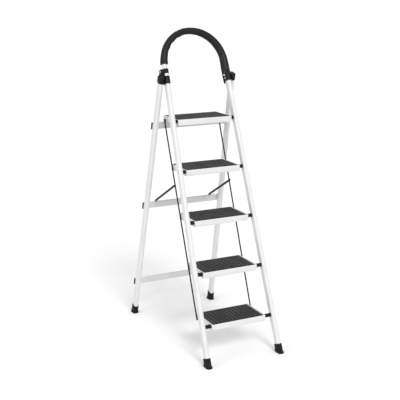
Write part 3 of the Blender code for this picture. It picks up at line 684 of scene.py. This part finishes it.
def rear_cap(side, word):
    """Moulded cap over the rear leg's top; the left one is domed under the bolt lug."""
    leg = LEGS[side]
    low = leg.along(HINGE.z + CAP_LOW)
    high = leg.along(HINGE.z + CAP_HIGH)
    width, depth, corner = SLEEVE_WIDTH, SLEEVE_DEPTH, SLEEVE_CORNER
    rings = [flat_ring(oval(width, depth, corner, SLEEVE_WALL - 0.0002), high - 0.0029),
             flat_ring(oval(width, depth, corner, SLEEVE_WALL - 0.0002), low + 0.0004),
             flat_ring(oval(width, depth, corner, SLEEVE_WALL - 0.0008), low)]
    for inset, z in ((0.0012, low), (0.0008, low + 0.0003), (0.0004, low + 0.0012),
                     (0.0002, low + 0.0120), (0, high - 0.0060), (0.0001, high - 0.0045)):
        rings.append(flat_ring(oval(width, depth, corner, inset), z))
    if side < 0:
        hinge = leg.along(HINGE.z)
        for inset, angle in ((0.0004, 28), (0.0008, 34), (0.0012, 45), (0.0017, 57),
                             (0.0024, 69), (0.0034, 80)):
            half = CAP_CROWN * math.cos(math.radians(angle))
            rings.append(flat_ring(oval(width - 2 * inset, 2 * half, min(corner, half) - 0.0001),
                                   hinge + CAP_CROWN * math.sin(math.radians(angle))))
    else:
        for inset, z in ((0.0003, high - 0.0018), (0.0008, high - 0.0008),
                         (0.0016, high - 0.0002), (0.0028, high)):
            rings.append(flat_ring(oval(width, depth, corner, inset), z))
    name = f"rear_hinge_cap_{word}"
    place_piece(name, moved(loft(rings), leg.matrix), "black_plastic", "rear_frame", [name],
                sharp=50)


# ---- handle -------------------------------------------------------------------------------
def handle_path(left_z, right_z, leg_steps=4, arc_steps=64):
    """Points of the handle's centre line and, for each, its angle round the bend."""
    rail = RAILS[-1]
    bend = rail.at(HINGE.z + HANDLE_BEND)
    slope = (rail.high - rail.low).normalized()
    up = Vector((0, slope.y, slope.z)).normalized()
    tilt = math.asin(slope.x)
    radius = -bend.x / math.cos(tilt)
    centre = bend + radius * (X_AXIS * math.cos(tilt) - up * math.sin(tilt))
    start, end = rail.at(left_z), RAILS[1].at(right_z)
    arc = []
    for step in range(arc_steps + 1):
        angle = math.pi - tilt - (math.pi - 2 * tilt) * step / arc_steps
        arc.append((centre + radius * (X_AXIS * math.cos(angle) + up * math.sin(angle)), angle))
    left = [(start.lerp(arc[0][0], i / leg_steps), math.pi) for i in range(leg_steps)]
    right = [(arc[-1][0].lerp(end, i / leg_steps), 0.0) for i in range(1, leg_steps + 1)]
    return left + arc + right, centre, up


def sweep_rings(path, centre, up, radius_at, sides=32):
    """Rings square to the path; radius_at(point, angle, turn) gives each vertex's radius,
    with turn 0 on the side away from the loop's middle."""
    normal = X_AXIS.cross(up)
    rings = []
    for index, (point, angle) in enumerate(path):
        before = path[max(index - 1, 0)][0]
        after = path[min(index + 1, len(path) - 1)][0]
        along = (after - before).normalized()
        outward = along.cross(normal)
        if outward.dot(point - centre) < 0:
            outward = -outward
        ring = []
        for i in range(sides):
            turn = 2 * math.pi * i / sides
            direction = outward * math.cos(turn) + normal * math.sin(turn)
            ring.append(point + direction * radius_at(point, angle, turn))
        rings.append(ring)
    return rings


def handle_tube():
    path, centre, up = handle_path(HINGE.z + HANDLE_FOOT, HINGE.z + HANDLE_FOOT)
    outer = sweep_rings(path, centre, up, lambda point, angle, turn: HANDLE_RADIUS)
    inner = sweep_rings(path, centre, up, lambda point, angle, turn: HANDLE_RADIUS - TUBE_WALL)
    mesh = loft(outer + inner[::-1], closed=True)
    place_piece("handle_tube", mesh, "white_powder_coat", "front_frame", ["handle_tube"])


def progress(value, start, span):
    """How far a value has come from start towards start + span, 0 to 1."""
    return min(max((value - start) / span, 0), 1)


def foam_radius(point):
    """Plain radius of the grip: wide over the right collar, thinner over the bend."""
    height = point.z - HINGE.z
    base = GRIP_RADIUS
    if point.x > 0:
        share = progress(height, GRIP_COLLAR_TOP, GRIP_COLLAR_TAPER)
        base = GRIP_RIGHT_RADIUS + (GRIP_SHOULDER_RADIUS - GRIP_RIGHT_RADIUS) * share
    over = progress(height, GRIP_BEND_LOW, GRIP_BEND_SPAN)
    right = progress(point.x, GRIP_MIDDLE_X, GRIP_MIDDLE_SPAN)
    return base + (GRIP_TOP_RADIUS + GRIP_TOP_EXTRA * right - base) * over


def crease(angle, turn):
    """Pinched folds on the inner side of the left bend, sharp ridges towards the middle."""
    if not CREASE_LAST < angle < CREASE_FIRST + CREASE_PITCH:
        return 0.0
    phase = (CREASE_FIRST - angle) / CREASE_PITCH
    inner = max(-math.cos(turn), 0) ** 1.2
    fade = min(1, (angle - CREASE_LAST) / CREASE_FADE)
    return GRIP_CREASE * inner * fade * (0.35 - abs(math.sin(math.pi * phase)))


def foam_offset(point, turn):
    """The foam sags towards the loop's middle, and its left rim flares outward."""
    height = point.z - HINGE.z
    low = 1 - progress(height, GRIP_BEND_LOW, GRIP_BEND_SPAN)
    right = progress(point.x, GRIP_MIDDLE_X, GRIP_MIDDLE_SPAN)
    sag = GRIP_SAG + GRIP_SAG_RIGHT * right + low * GRIP_SAG_LEG[1 if point.x > 0 else -1]
    rim = 1 - progress(height, GRIP_LEFT_END, GRIP_FLARE_SPAN)
    flare = GRIP_FLARE * rim if point.x < 0 else 0
    return flare * max(math.cos(turn), 0) - sag * math.cos(turn)


def grip_skin(point, angle, turn):
    lumps = noise.noise(Vector((angle * 9, math.cos(turn) * 1.3, math.sin(turn) * 1.3)))
    return (foam_radius(point) + foam_offset(point, turn) + GRIP_LUMPS * lumps
            + crease(angle, turn))


def grip_bore(point, _angle, _turn):
    """The foam's inner radius: round the right collar at the foot, else round the tube."""
    if point.x > 0 and point.z < HINGE.z + GRIP_COLLAR_TOP:
        return GRIP_COLLAR_BORE
    return HANDLE_RADIUS + 0.0005


def handle_grip():
    """Foam sleeve with rounded rims, stretched over the right collar."""
    path, centre, up = handle_path(HINGE.z + GRIP_LEFT_END, HINGE.z + GRIP_RIGHT_END, 8, 96)
    skin = sweep_rings(path, centre, up, grip_skin, 40)
    bore = sweep_rings(path, centre, up, grip_bore, 40)
    for end, step in ((0, 1), (-1, -1)):
        middle = path[end][0]
        lift = (path[end + step][0] - middle).normalized()
        for i, vertex in enumerate(skin[end]):
            direction = vertex - middle
            skin[end][i] = middle + direction * (1 - 0.0011 / direction.length)
            bulge = direction * (1 + 0.0004 / direction.length)
            skin[end + step][i] = middle + bulge + lift * 0.0016
    mesh = loft(skin + bore[::-1], closed=True)
    for vertex in mesh.vertices:
        if vertex.co.z < HINGE.z + GRIP_COLLAR_TOP:
            vertex.co.x = min(vertex.co.x, GRIP_FLAT_X)
    grip = place_piece("handle_grip", mesh, "grip_foam", "front_frame", ["handle_grip"], sharp=60)


# ---- steps --------------------------------------------------------------------------------
def centred_rings(low, high, corner, profile, per_corner=9):
    """Rings of (inset, height) round the middle of a box seen from above."""
    middle = Vector(((low.x + high.x) / 2, (low.y + high.y) / 2, 0))
    return [[point + middle for point in
             flat_ring(oval(high.x - low.x, high.y - low.y, corner, inset, per_corner), z)]
            for inset, z in profile]


def tread(number):
    """Pressed tray: raised rounded rim, open below, its lower edge turned in."""
    name = f"step_{number}_tread"
    low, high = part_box(name)
    top, bottom = high.z, low.z
    profile = [(0.0033, top), (0.0031, top + 0.0018), (0.0026, top + 0.0026),
               (0.0017, top + TRAY_RIM), (0.0008, top + 0.0025), (0.0002, top + 0.0015),
               (0, top + 0.0003), (0, bottom + 0.0022), (0.0003, bottom + 0.0010),
               (0.0010, bottom + 0.0003), (0.0022, bottom), (TRAY_LIP, bottom),
               (TRAY_LIP, bottom + SHEET), (0.0026, bottom + SHEET), (SHEET, bottom + 0.0026),
               (SHEET, top - 0.0038), (0.0021, top - 0.0022), (0.0036, top - SHEET)]
    mesh = loft(centred_rings(low, high, TRAY_CORNER, profile))
    place_piece(name, mesh, "white_powder_coat", f"step_{number}", [name], sharp=50)


def stud_rings(centre, turn, field, top):
    """Rings of one raised stud: a slim round-ended bar with sloping flanks."""
    rings = []
    for inset, z in ((0, field - 0.0002), (0.0002, field + (top - field) * 0.55),
                     (0.0008, top)):
        spin = Matrix.Rotation(turn, 3, "Z")
        flat = oval(STUD_LENGTH, STUD_WIDTH, STUD_WIDTH / 2, inset, 3)
        rings.append([spin @ Vector((x, y, 0)) + Vector((centre[0], centre[1], z))
                      for x, y in flat])
    return rings


def step_mat(number):
    """Rubber mat: eased slab, plain rim, and lanes of slanted studs, alternately turned."""
    name = f"step_{number}_mat"
    low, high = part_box(name)
    top = high.z
    field = top - MAT_RELIEF
    profile = [(0.0006, low.z), (0, low.z + 0.0006), (0, top - 0.0009), (0.0003, top - 0.0003),
               (0.0009, top), (MAT_RIM - 0.0008, top), (MAT_RIM, top - 0.0003),
               (MAT_RIM + 0.0004, field)]
    slab = loft(centred_rings(low, high, MAT_CORNER, profile, 6))
    work = bmesh.new()
    work.from_mesh(slab)
    # marks the studs' tops, which the mat's material paints lighter as a highlight
    raised = work.verts.layers.float.new("raised")
    room_x = (high.x - low.x) / 2 - MAT_RIM - STUD_LENGTH * STUD_CLEAR_X
    room_y = (high.y - low.y) / 2 - MAT_RIM - STUD_LENGTH * STUD_CLEAR_Y
    lanes = int(2 * room_x / LANE_PITCH) + 1
    rows = int(2 * room_y / STUD_PITCH) + 1
    for lane in range(lanes):
        for row in range(rows):
            x = (lane - (lanes - 1) / 2) * LANE_PITCH
            y = (low.y + high.y) / 2 + (row - (rows - 1) / 2) * STUD_PITCH
            turn = math.radians(STUD_TURN if lane % 2 else -STUD_TURN)
            levels = [[work.verts.new(point) for point in ring]
                      for ring in stud_rings((x, y), turn, field, top)]
            for vertex in levels[-1]:
                vertex[raised] = 1.0
            for lower, upper in zip(levels, levels[1:]):
                for i in range(len(lower)):
                    j = (i + 1) % len(lower)
                    work.faces.new((lower[i], lower[j], upper[j], upper[i]))
            work.faces.new(levels[-1])
            work.faces.new(reversed(levels[0]))
    place_piece(name, to_mesh(work), "ribbed_mat", f"step_{number}", [name], sharp=45)


def spacer(number, word):
    """Plastic bush between tray and rail with chamfered ends and a shallow waist."""
    name = f"step_{number}_spacer_{word}"
    low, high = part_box(name)
    length = high.x - low.x
    radius = (high.z - low.z) / 2
    bore = RIVET_SHANK + 0.0005
    profile = [(bore, 0), (radius - 0.0012, 0), (radius - 0.0003, 0.0004), (radius, 0.0013),
               (radius, 0.0030), (radius - 0.0004, 0.0036), (radius - 0.0004, length - 0.0036),
               (radius, length - 0.0030), (radius, length - 0.0013),
               (radius - 0.0003, length - 0.0004), (radius - 0.0012, length), (bore, length)]
    pivot = joint_place(f"step_{number}_pivot")
    mesh = moved(lathe(profile, 36, closed=True),
                 turned_to(Vector((low.x, pivot.y, pivot.z)), X_AXIS))
    place_piece(name, mesh, "black_plastic", "front_frame", [name])


def rivet(number, side, word):
    """Step rivet: domed head on the rail's outer face, flat head inside the tray."""
    name = f"step_{number}_rivet_{word}"
    low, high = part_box(name)
    inner = min(abs(low.x), abs(high.x))
    length = high.x - low.x
    rise = 0.0017
    profile = [(0.0040, 0), (0.0048, 0.0006), (0.0048, 0.0020), (RIVET_SHANK, 0.0020),
               (RIVET_SHANK, length - 0.0020)]
    profile += dome(RIVET_HEAD, rise, length - rise)
    pivot = joint_place(f"step_{number}_pivot")
    mesh = moved(lathe(profile, 32), turned_to(Vector((side * inner, pivot.y, pivot.z)),
                                               Vector((side, 0, 0))))
    place_piece(name, mesh, "white_powder_coat", "front_frame", [name])


# ---- folding gear -------------------------------------------------------------------------
def round_rod(start, end, radius, sides=20, ease=0.0008):
    """Straight rod with eased ends."""
    length = (end - start).length
    profile = [(radius - ease, 0), (radius - ease * 0.3, ease * 0.3), (radius, ease),
               (radius, length - ease), (radius - ease * 0.3, length - ease * 0.3),
               (radius - ease, length)]
    return moved(lathe(profile, sides), turned_to(start, end - start))


def lift_rod(side, word):
    """Rod along the steps' back corners with its studs and link knob."""
    name = f"lift_rod_{word}"
    low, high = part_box(name)
    lean = RAILS[side].lean
    inner, outer = sorted((abs(low.x), abs(high.x)))
    x = side * (outer - ROD_INSET)
    reach = Vector((0, ROD_RADIUS * math.cos(lean), ROD_RADIUS * math.sin(lean)))
    bottom = Vector((x, low.y, low.z)) + reach
    top = Vector((x, high.y, high.z)) - reach
    rod = round_rod(bottom, top, ROD_SKIN)
    parts = []
    offset = joint_place("lift_rod_pivot") - joint_place("step_5_pivot")
    for number in STEPS:
        eye = joint_place(f"step_{number}_pivot") + offset
        parts.append(round_rod(Vector((side * inner, eye.y, eye.z)),
                               Vector((x, eye.y, eye.z)), STUD_RADIUS, 16, 0.0004))
    knob = link_top(word)
    parts.append(round_rod(Vector((x, knob.y, knob.z)),
                           Vector((side * outer, knob.y, knob.z)), KNOB_RADIUS, 24, 0.0004))
    place_piece(name, combined(rod, parts), "black_steel", "lift_rods", [name])


def link_top(word):
    """Upper pivot of a fold link (at x = 0), from its box."""
    low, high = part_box(f"fold_link_{word}")
    return Vector((0, low.y + LINK_WIDTH / 2, high.z - LINK_WIDTH / 2))


def fold_link(side, word):
    """Flat bar with round ends and eased edges, a rivet head on its upper end."""
    name = f"fold_link_{word}"
    low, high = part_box(name)
    x = (low.x + high.x) / 2
    half = (high.x - low.x) / 2
    top = link_top(word)
    length = (top - LINK_FOOT).length
    rings = []
    for inset, z in ((0.0005, -half), (0, -half + 0.0005), (0, half - 0.0005), (0.0005, half)):
        outline = oval(LINK_WIDTH, length + LINK_WIDTH, LINK_WIDTH / 2, inset, 10)
        rings.append([Vector((px, py + length / 2, z)) for px, py in outline])
    toward = (top - LINK_FOOT).normalized()
    third = X_AXIS.cross(toward)
    place = Matrix.Translation(LINK_FOOT + X_AXIS * x) @ Matrix(
        (third, toward, -X_AXIS)).transposed().to_4x4()
    bar = moved(loft(rings), place)
    rise = 0.0006
    profile = [(LINK_RIVET, 0), (LINK_RIVET, rise)] + dome(LINK_RIVET, rise, rise)[1:]
    head = moved(lathe(profile, 20), turned_to(
        Vector((x + side * (half - 0.0002), top.y, top.z)), Vector((side, 0, 0))))
    place_piece(name, combined(bar, [head]), "black_steel", "fold_links", [name])


# ---- rear frame ---------------------------------------------------------------------------
def strap_section():
    """Outline of the channel in (depth, height): web in front, flanges to the rear."""
    half, bend = STRAP_HEIGHT / 2, STRAP_BEND
    outer, inner = [], []
    for step in range(6):
        angle = math.pi / 2 * step / 5
        out_x, out_z = bend * (1 - math.cos(angle)), half - bend * (1 - math.sin(angle))
        in_bend = bend - SHEET
        in_x = SHEET + in_bend * (1 - math.cos(angle))
        in_z = half - SHEET - in_bend * (1 - math.sin(angle))
        outer.append((out_x, out_z))
        inner.append((in_x, in_z))
    upper = outer + [(STRAP_DEPTH, half), (STRAP_DEPTH, half - SHEET)] + inner[::-1]
    lower = [(x, -z) for x, z in reversed(upper)]
    return upper + lower


def strap_place(name):
    """Frame of a strap: origin in the middle of its front face, Y square to it."""
    lean = LEGS[1].lean

    def origin(word):
        low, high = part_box(f"rear_strap_{word}")
        return Vector((0, low.y + STRAP_HEIGHT / 2 * math.sin(lean),
                       low.z + STRAP_HEIGHT / 2 * math.cos(lean)))
    place = origin(name)
    top, bottom = origin("top"), origin("bottom")
    place.y = bottom.y + (top.y - bottom.y) * (place.z - bottom.z) / (top.z - bottom.z)
    return Matrix.Translation(place) @ Matrix.Rotation(lean, 4, "X")


def rear_strap(name):
    node = f"rear_strap_{name}"
    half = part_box(node)[1].x
    section = strap_section()
    rings = [[Vector((x, y, z)) for y, z in section] for x in (-half, half)]
    mesh = moved(loft(rings), strap_place(name))
    if name == "middle":
        mesh = combined(mesh, [link_tab(side, word) for side, word in SIDES])
    place_piece(node, mesh, "white_powder_coat", "rear_frame", [node])
    for side, word in SIDES:
        strap_cap(name, side, word)


def link_tab(side, word):
    """Bracket on the middle strap, round at the top, with the fold link's stud."""
    low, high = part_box(f"fold_link_{word}")
    link_x = max(abs(low.x), abs(high.x))
    place = strap_place("middle")
    local = place.inverted() @ LINK_FOOT
    base = STRAP_HEIGHT / 2 - 0.001
    outline = [(local.y - TAB_RADIUS, base), (local.y + TAB_RADIUS, base)]
    for step in range(9):
        angle = math.pi * step / 8
        outline.append((local.y + TAB_RADIUS * math.cos(angle),
                        local.z + TAB_RADIUS * math.sin(angle)))
    near, far = sorted((side * (link_x + 0.001), side * (link_x + 0.004)))
    tab = moved(loft([[Vector((x, y, z)) for y, z in outline] for x in (near, far)]), place)
    start = Vector((side * (link_x + 0.0015), LINK_FOOT.y, LINK_FOOT.z))
    end = Vector((side * (min(abs(low.x), abs(high.x)) - 0.0012), LINK_FOOT.y, LINK_FOOT.z))
    return combined(tab, [round_rod(start, end, STUD_RADIUS, 16, 0.0004)])


def strap_cap(name, side, word):
    """Plastic end cap of a strap, a soft-edged plate."""
    node = f"strap_cap_{name}_{word}"
    low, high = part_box(node)
    place = strap_place(name)
    near, far = (low.x, high.x) if side > 0 else (high.x, low.x)
    thick = abs(far - near)
    rings = []
    for inset, share in ((0.0003, 0), (0, 0.1), (0, 0.55), (0.0004, 0.8), (0.0012, 0.95),
                         (0.0022, 1.0)):
        x = near + side * thick * share
        rings.append([Vector((x, y + STRAP_DEPTH / 2 + 0.001, z)) for y, z in
                      oval(STRAP_DEPTH + 0.002, STRAP_HEIGHT + 0.002, 0.004, inset)])
    place_piece(node, moved(loft(rings), place), "black_plastic", "rear_frame", [node],
                sharp=50)


# ---- the ladder ---------------------------------------------------------------------------
def build_ladder():
    for side, word in SIDES:
        upright_tube(f"front_rail_{word}", RAILS[side], "front_frame")
        upright_tube(f"rear_leg_{word}", LEGS[side], "rear_frame")
        rubber_foot(f"front_foot_{word}", RAILS[side], "front_frame")
        rubber_foot(f"rear_foot_{word}", LEGS[side], "rear_frame")
        top_joint(side, word)
        hinge_pin(side, word)
        rear_cap(side, word)
        lift_rod(side, word)
        fold_link(side, word)
        for number in STEPS:
            spacer(number, word)
            rivet(number, side, word)
    for number in STEPS:
        tread(number)
        step_mat(number)
    for name in ("top", "middle", "bottom"):
        rear_strap(name)
    handle_tube()
    handle_grip()


# ---- studio -------------------------------------------------------------------------------
def studio_floor():
    work = bmesh.new()
    bmesh.ops.create_grid(work, x_segments=1, y_segments=1, size=FLOOR_SIZE)
    floor = bpy.data.objects.new("floor", to_mesh(work))
    bpy.context.scene.collection.objects.link(floor)
    finish = Finish("floor_paper", (0.93, 0.93, 0.93), 0.9)
    finish.shader.inputs["Specular IOR Level"].default_value = 0.0
    floor.data.materials.append(finish.material)


def sun_light(name, azimuth, height, power, softness):
    """Distant soft light: azimuth from -Y towards -X and height over the floor, degrees."""
    data = bpy.data.lights.new(name, "SUN")
    data.energy = power
    data.angle = math.radians(softness)
    light = bpy.data.objects.new(name, data)
    azimuth, height = math.radians(azimuth), math.radians(height)
    towards = Vector((math.sin(azimuth) * math.cos(height), math.cos(azimuth) * math.cos(height),
                      -math.sin(height)))
    light.rotation_euler = towards.to_track_quat("-Z", "Y").to_euler()
    bpy.context.scene.collection.objects.link(light)


def studio_light():
    world = bpy.data.worlds.new("studio")
    world.use_nodes = True
    background = world.node_tree.nodes["Background"]
    background.inputs["Color"].default_value = (1, 1, 1, 1)
    background.inputs["Strength"].default_value = SKY_STRENGTH
    bpy.context.scene.world = world
    sun_light("key", **KEY_LIGHT)
    sun_light("fill", **FILL_LIGHT)
    bpy.context.scene.view_settings.view_transform = "Standard"


def studio_camera():
    azimuth, drop = math.radians(CAMERA_AZIMUTH), math.radians(CAMERA_DROP)
    direction = Vector((math.sin(azimuth) * math.cos(drop), math.cos(azimuth) * math.cos(drop),
                        -math.sin(drop)))
    data = bpy.data.cameras.new("camera")
    data.lens = CAMERA_LENS
    data.sensor_width = SENSOR
    camera = bpy.data.objects.new("camera", data)
    camera.location = CAMERA_PLACE
    camera.rotation_euler = direction.to_track_quat("-Z", "Y").to_euler()
    bpy.context.scene.collection.objects.link(camera)
    bpy.context.scene.camera = camera


build_ladder()
studio_floor()
studio_light()
studio_camera()
bpy.context.view_layer.update()
